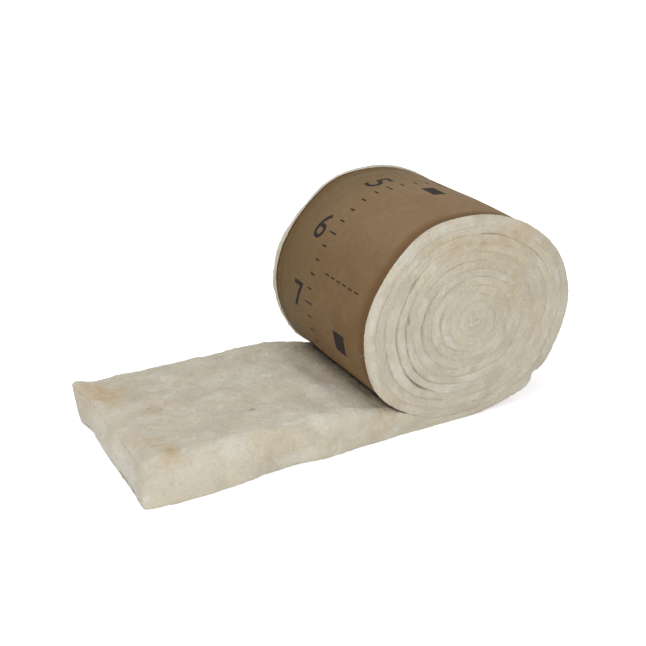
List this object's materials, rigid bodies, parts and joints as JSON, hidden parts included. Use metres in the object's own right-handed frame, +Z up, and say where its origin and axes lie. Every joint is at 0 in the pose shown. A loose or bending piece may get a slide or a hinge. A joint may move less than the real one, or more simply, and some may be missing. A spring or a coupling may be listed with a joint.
{
  "type": "insulation roll",
  "caption": "Faced glass-wool insulation blanket in a wide roll, with its outer end pulled out flat along the floor.",
  "frame": {"origin": "on the floor, under the middle of the object's bounding box", "axes": "+X along the blanket from the free end of its tail towards the roll, +Y across its width, along the roll's axis, +Z up"},
  "size_m": [0.9258, 0.381, 0.4297],
  "materials": {
    "glass_wool": "matt, fluffy mineral fibre, cream white with faint tan patches",
    "kraft_paper": "uncoated brown kraft paper, low sheen, with folded stapling flanges"
  },
  "bodies": {
    "root": {"glass_wool_blanket": "glass_wool", "kraft_facing": "kraft_paper"}
  },
  "joints": []
}
